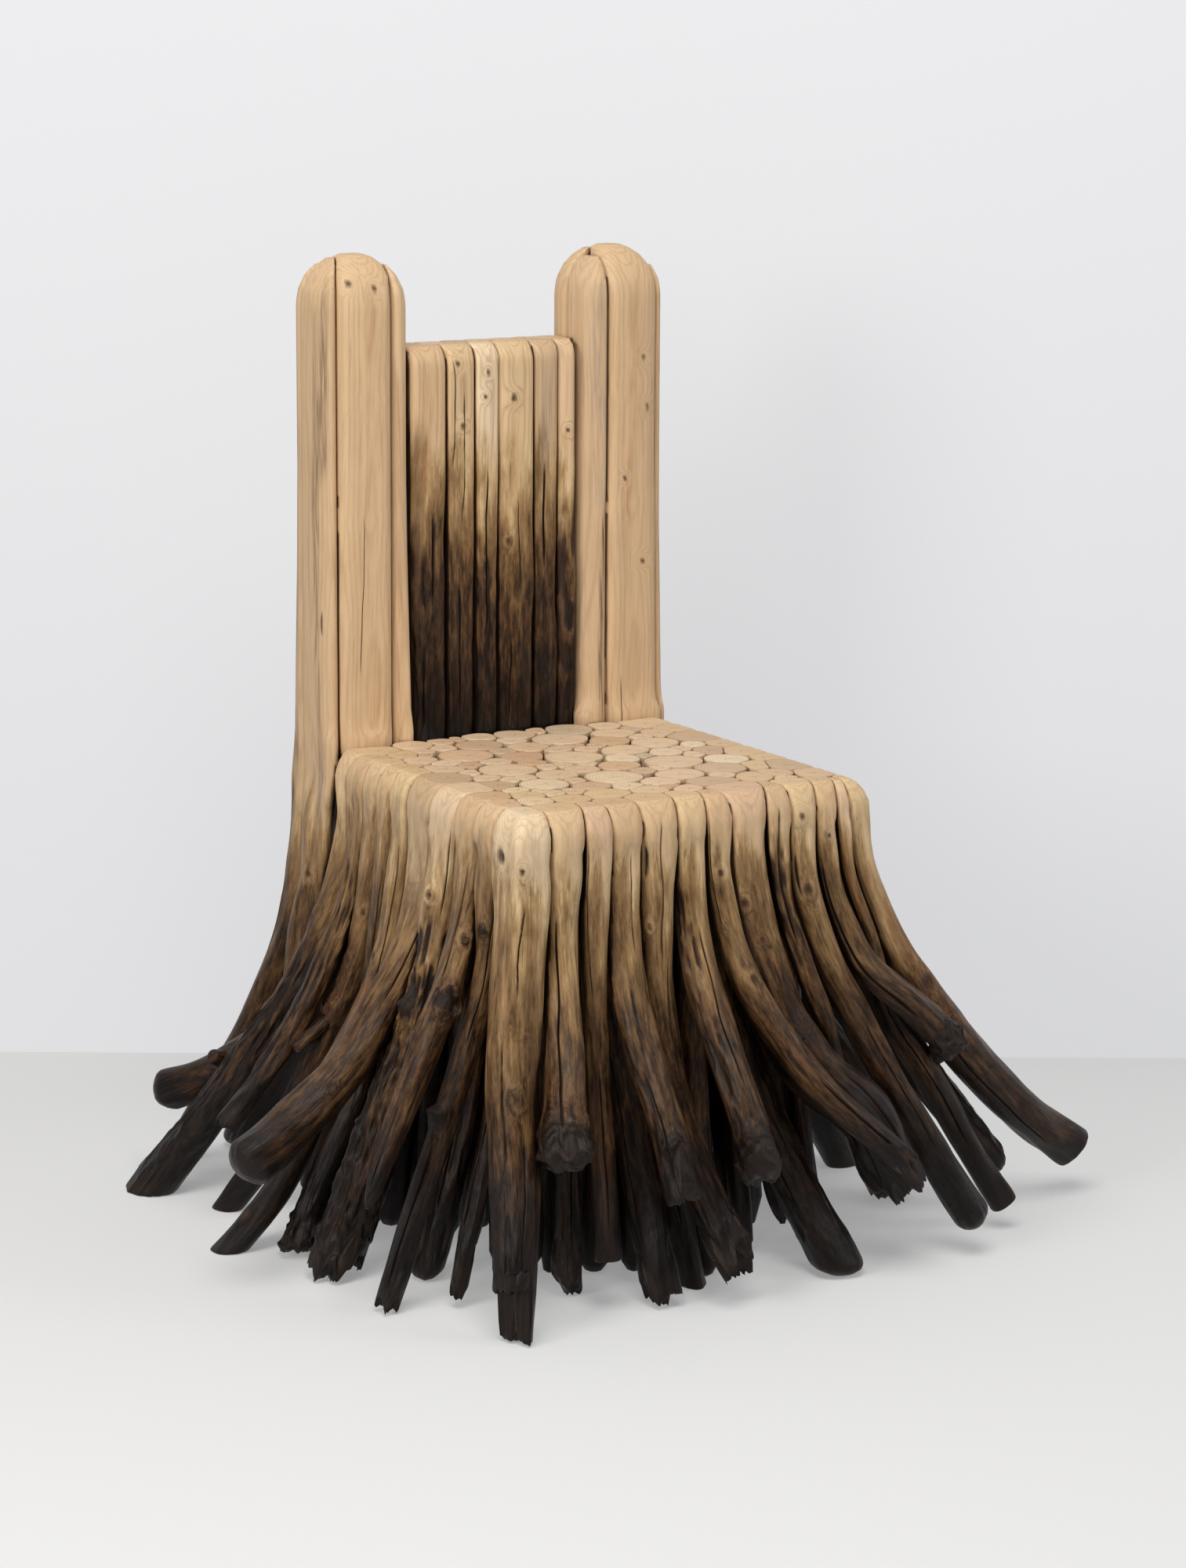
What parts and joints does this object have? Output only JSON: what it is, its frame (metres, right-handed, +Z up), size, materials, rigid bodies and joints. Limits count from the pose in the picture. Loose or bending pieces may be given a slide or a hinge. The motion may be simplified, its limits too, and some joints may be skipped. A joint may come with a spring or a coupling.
{
  "type": "twig chair",
  "caption": "Armless chair made of upright peeled branches bundled together: sanded block seat, two round-topped posts, low back panel, branch ends spreading as feet.",
  "frame": {"origin": "on the floor, straight below the middle of the seat's left-to-right width and of its depth from front edge to the back of the posts", "axes": "+Z up, +Y towards the chair's back, +X to the right of someone looking at the chair's front"},
  "size_m": [0.9134, 0.7769, 0.9485],
  "materials": {
    "sanded_wood": "sanded and oiled end grain and long grain, warm tan",
    "bark_wood": "peeled branch, brown to nearly black, satin",
    "rod_steel": "plain round steel rod"
  },
  "bodies": {
    "root": {"back_branch_1": "sanded_wood", "back_branch_2": "sanded_wood", "back_branch_3": "sanded_wood", "back_branch_4": "sanded_wood", "back_branch_5": "sanded_wood", "back_branch_6": "sanded_wood", "back_cross_rods": "rod_steel", "back_middle_twigs": "sanded_wood", "back_rear_branches": "bark_wood", "front_branch_1": "sanded_wood", "front_branch_10": "sanded_wood", "front_branch_11": "sanded_wood", "front_branch_2": "sanded_wood", "front_branch_3": "sanded_wood", "front_branch_4": "sanded_wood", "front_branch_5": "sanded_wood", "front_branch_6": "sanded_wood", "front_branch_7": "sanded_wood", "front_branch_8": "sanded_wood", "front_branch_9": "sanded_wood", "left_branch_1": "sanded_wood", "left_branch_2": "sanded_wood", "left_branch_3": "sanded_wood", "left_branch_4": "sanded_wood", "left_branch_5": "sanded_wood", "left_branch_6": "sanded_wood", "left_branch_7": "sanded_wood", "left_branch_8": "sanded_wood", "left_branch_9": "sanded_wood", "left_corner_branch": "sanded_wood", "left_post_front": "sanded_wood", "left_post_inner": "sanded_wood", "left_post_outer": "sanded_wood", "left_post_rear_inner": "sanded_wood", "left_post_rear_outer": "sanded_wood", "right_branch_1": "sanded_wood", "right_branch_2": "sanded_wood", "right_branch_3": "sanded_wood", "right_branch_4": "sanded_wood", "right_branch_5": "sanded_wood", "right_branch_6": "sanded_wood", "right_branch_7": "sanded_wood", "right_branch_8": "sanded_wood", "right_corner_branch": "sanded_wood", "right_post_front": "sanded_wood", "right_post_inner": "sanded_wood", "right_post_outer": "sanded_wood", "right_post_rear_inner": "sanded_wood", "right_post_rear_outer": "sanded_wood", "seat_cross_rods": "rod_steel", "seat_long_rods": "rod_steel", "seat_middle_1": "sanded_wood", "seat_middle_2": "sanded_wood", "seat_middle_3": "sanded_wood", "seat_middle_4": "sanded_wood", "under_front_branches": "bark_wood", "under_left_branches": "bark_wood", "under_right_branches": "bark_wood"}
  },
  "joints": []
}
